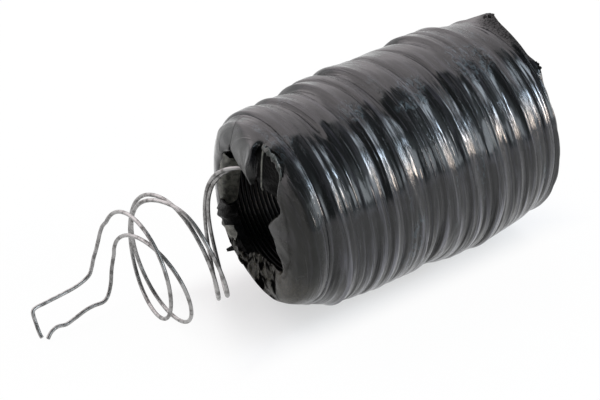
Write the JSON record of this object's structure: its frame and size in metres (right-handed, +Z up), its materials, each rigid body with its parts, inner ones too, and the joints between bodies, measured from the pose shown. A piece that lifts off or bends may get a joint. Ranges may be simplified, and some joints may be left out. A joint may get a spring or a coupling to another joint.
{
  "type": "tie wire roll",
  "caption": "Barrel-shaped roll of doubled soft steel wire wrapped in stretched film, with both strands drawn in loose loops out of the bore through the torn end.",
  "frame": {"origin": "in the small flat that the roll rests on, under the middle of its length", "axes": "+X along the roll from its torn mouth to its back end, +Z up, +Y to the far side that the drawn loops lean towards"},
  "size_m": [0.1761, 0.0796, 0.0784],
  "materials": {
    "wire": "dull grey annealed steel wire with a light oil film",
    "packed_wire": "close-wound dark annealed wire",
    "film": "glossy black stretched polyethylene film"
  },
  "bodies": {
    "roll": {"coil_core": "packed_wire", "inner_turns_a": "wire", "inner_turns_b": "wire", "lead_wire_a": "wire", "lead_wire_b": "wire", "film_wrap": "film", "film_front_fold": "film", "film_back_fold": "film", "film_hood": "film", "film_side_lip": "film", "film_tatters": "film", "film_back_lip": "film"},
    "drawn_strands": {"drawn_wire_a": "wire", "drawn_wire_b": "wire"},
    "tongue": {"film_tongue": "film"}
  },
  "joints": [
    {"name": "wire_feed", "type": "slide", "parent": "roll", "child": "drawn_strands", "axis": [-1, 0, 0], "range_m": [0, 0.03], "deforming": ["lead_wire_a", "lead_wire_b"]},
    {"name": "tongue_flap", "type": "hinge", "parent": "roll", "child": "tongue", "pos_m": [-0.0544, 0.002, 0.0655], "axis": [0, 1, 0], "range_deg": [0, 60]}
  ]
}
